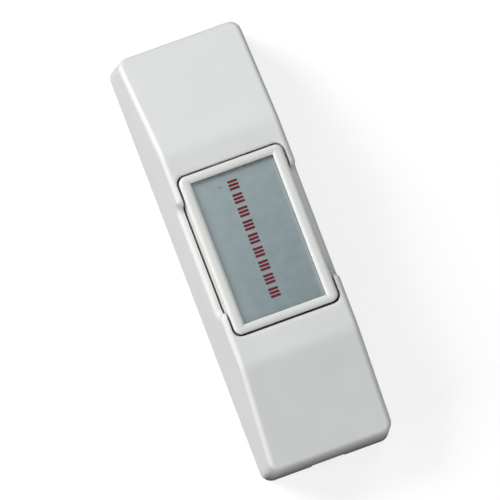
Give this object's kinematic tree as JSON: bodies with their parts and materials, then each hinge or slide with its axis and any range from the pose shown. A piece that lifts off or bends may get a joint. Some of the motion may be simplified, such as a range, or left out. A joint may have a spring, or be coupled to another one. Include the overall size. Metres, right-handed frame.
{
  "type": "panic button",
  "caption": "Narrow wall-mounted panic button: roof-shaped housing, large rectangular push button with a metal label plate, leaf contacts and screw terminals inside.",
  "frame": {"origin": "middle of the flat back, on the wall plane", "axes": "+Z out of the wall through the button, +Y along the housing to its upper end, +X to the right"},
  "size_m": [0.0272, 0.088, 0.0185],
  "materials": {
    "cover_plastic": "satin moulded ABS, off-white",
    "base_plastic": "moulded ABS, off-white",
    "button_plastic": "satin moulded ABS, off-white",
    "plate_aluminium": "satin silver-grey plate with red marks",
    "adhesive_film": "double-sided adhesive film",
    "spring_steel": "drawn spring wire",
    "carrier_plastic": "moulded insulating block, black",
    "terminal_brass": "stamped strip",
    "leaf_bronze": "rolled phosphor bronze",
    "rivet_brass": "turned brass",
    "contact_silver": "silver contact button",
    "screw_steel": "zinc-plated steel"
  },
  "bodies": {
    "housing": {"front_cover": "cover_plastic", "base_plate": "base_plastic", "upper_return_spring": "spring_steel", "lower_return_spring": "spring_steel", "contact_carrier": "carrier_plastic", "common_terminal": "terminal_brass", "normally_open_terminal": "terminal_brass", "normally_closed_terminal": "terminal_brass", "leaf_rivet": "rivet_brass", "normally_open_contact": "contact_silver", "normally_closed_contact": "contact_silver", "terminal_screws": "screw_steel", "clamp_washers": "screw_steel", "terminal_nuts": "screw_steel", "carrier_screws": "screw_steel"},
    "button": {"push_button": "button_plastic", "label_plate": "plate_aluminium", "plate_adhesive": "adhesive_film"},
    "leaf": {"contact_leaf": "leaf_bronze", "moving_contacts": "contact_silver"}
  },
  "joints": [
    {"name": "button_press", "type": "slide", "parent": "housing", "child": "button", "axis": [0, 0, -1], "range_m": [0, 0.0018], "stiffness_N_per_m": 900, "springref_m": -0.0015, "deforming": ["upper_return_spring", "lower_return_spring"]},
    {"name": "leaf_flex", "type": "hinge", "parent": "housing", "child": "leaf", "pos_m": [0, -0.005, 0.005], "axis": [-1, 0, 0], "range_deg": [0, 8], "deforming": ["contact_leaf"]}
  ],
  "couplings": [
    {"joint": "leaf_flex", "follows": "button_press", "rad_per_m": 77.5}
  ]
}
